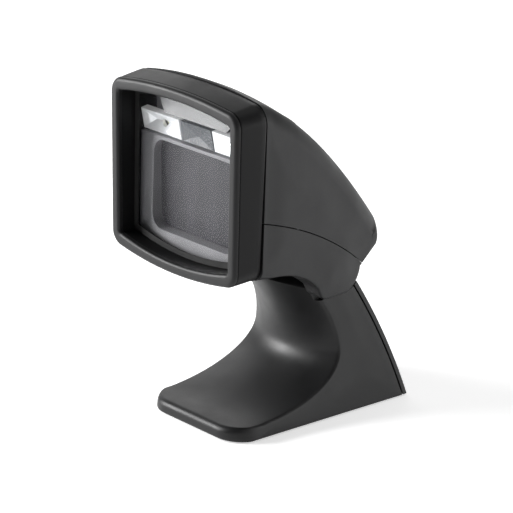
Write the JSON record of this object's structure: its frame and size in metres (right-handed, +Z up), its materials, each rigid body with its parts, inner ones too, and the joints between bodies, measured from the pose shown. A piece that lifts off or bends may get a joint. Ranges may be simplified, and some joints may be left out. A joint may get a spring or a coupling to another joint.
{
  "type": "presentation barcode scanner",
  "caption": "Hands-free barcode scanner: a hooded square window on a wedge head that tilts on a C-shaped stand, with a trigger button on top.",
  "frame": {"origin": "on the ground, on the middle plane, halfway between the hood's face and the stand's heel", "axes": "+Z up; the reading window faces -Y; +X is to the right of someone who looks at the window's back"},
  "size_m": [0.0818, 0.1009, 0.1472],
  "materials": {
    "rim_plastic": "fine moulded grain, satin sheen on the rounded edges",
    "hood_plastic": "fine moulded grain",
    "housing_plastic": "fine moulded grain, soft satin",
    "stand_plastic": "fine moulded grain, semi-gloss on the neck",
    "cover_plastic": "fine moulded grain",
    "window_glass": "polished clear window",
    "gasket_rubber": "matt seal",
    "optics_grey": "satin inner frame",
    "imager_tint": "smooth tinted cover",
    "reflector_white": "bright plated facets",
    "prism_grey": "smooth facets",
    "diffuser": "frosted light panel",
    "circuit_board": "solder-masked laminate",
    "led": "clear dome",
    "lens_black": "black anodised look",
    "sensor": "covered silicon",
    "chassis_plastic": "plain moulding",
    "chip_black": "epoxy packages",
    "steel": "zinc-plated",
    "flex_amber": "polyimide film",
    "sounder_black": "plain",
    "button_plastic": "satin",
    "switch_grey": "plain",
    "indicator_clear": "frosted light pipe",
    "jack_black": "plain",
    "bronze": "sintered bronze",
    "sleeve_plastic": "acetal",
    "weight_iron": "as cast, zinc-plated",
    "base_plastic": "plain moulding",
    "pad_rubber": "matt non-slip"
  },
  "bodies": {
    "stand": {"stand_body": "stand_plastic", "rear_cover": "cover_plastic", "base_weight": "weight_iron", "base_plate": "base_plastic", "foot_pads": "pad_rubber", "base_screws": "steel", "cover_screws": "steel", "friction_sleeve_left": "sleeve_plastic", "friction_sleeve_right": "sleeve_plastic"},
    "head": {"front_rim": "rim_plastic", "hood_shell": "hood_plastic", "window_pane": "window_glass", "window_gasket": "gasket_rubber", "optics_frame": "optics_grey", "imager_cover": "imager_tint", "reflector_left": "reflector_white", "reflector_right": "reflector_white", "centre_prism": "prism_grey", "light_panel": "diffuser", "led_board": "circuit_board", "illumination_leds": "led", "lens_barrel": "lens_black", "lens_holder": "lens_black", "image_sensor": "sensor", "camera_board": "circuit_board", "upper_housing": "housing_plastic", "lower_housing": "housing_plastic", "inner_chassis": "chassis_plastic", "main_board": "circuit_board", "board_chips": "chip_black", "board_screws": "steel", "flex_cable": "flex_amber", "sounder": "sounder_black", "button_switch": "switch_grey", "button_board": "circuit_board", "indicator_lens": "indicator_clear", "interface_jack": "jack_black", "housing_screws": "steel", "tilt_axle": "steel", "ear_bush_left": "bronze", "ear_bush_right": "bronze", "spring_washers": "steel"},
    "trigger": {"trigger_button": "button_plastic"}
  },
  "joints": [
    {"name": "head_tilt", "type": "hinge", "parent": "stand", "child": "head", "pos_m": [0, 0.0205, 0.0615], "axis": [-1, 0, 0], "range_deg": [-10, 25]},
    {"name": "trigger_press", "type": "slide", "parent": "head", "child": "trigger", "axis": [0, -0.6347, -0.7727], "range_m": [0, 0.001], "stiffness_N_per_m": 800, "springref_m": -0.0004}
  ]
}
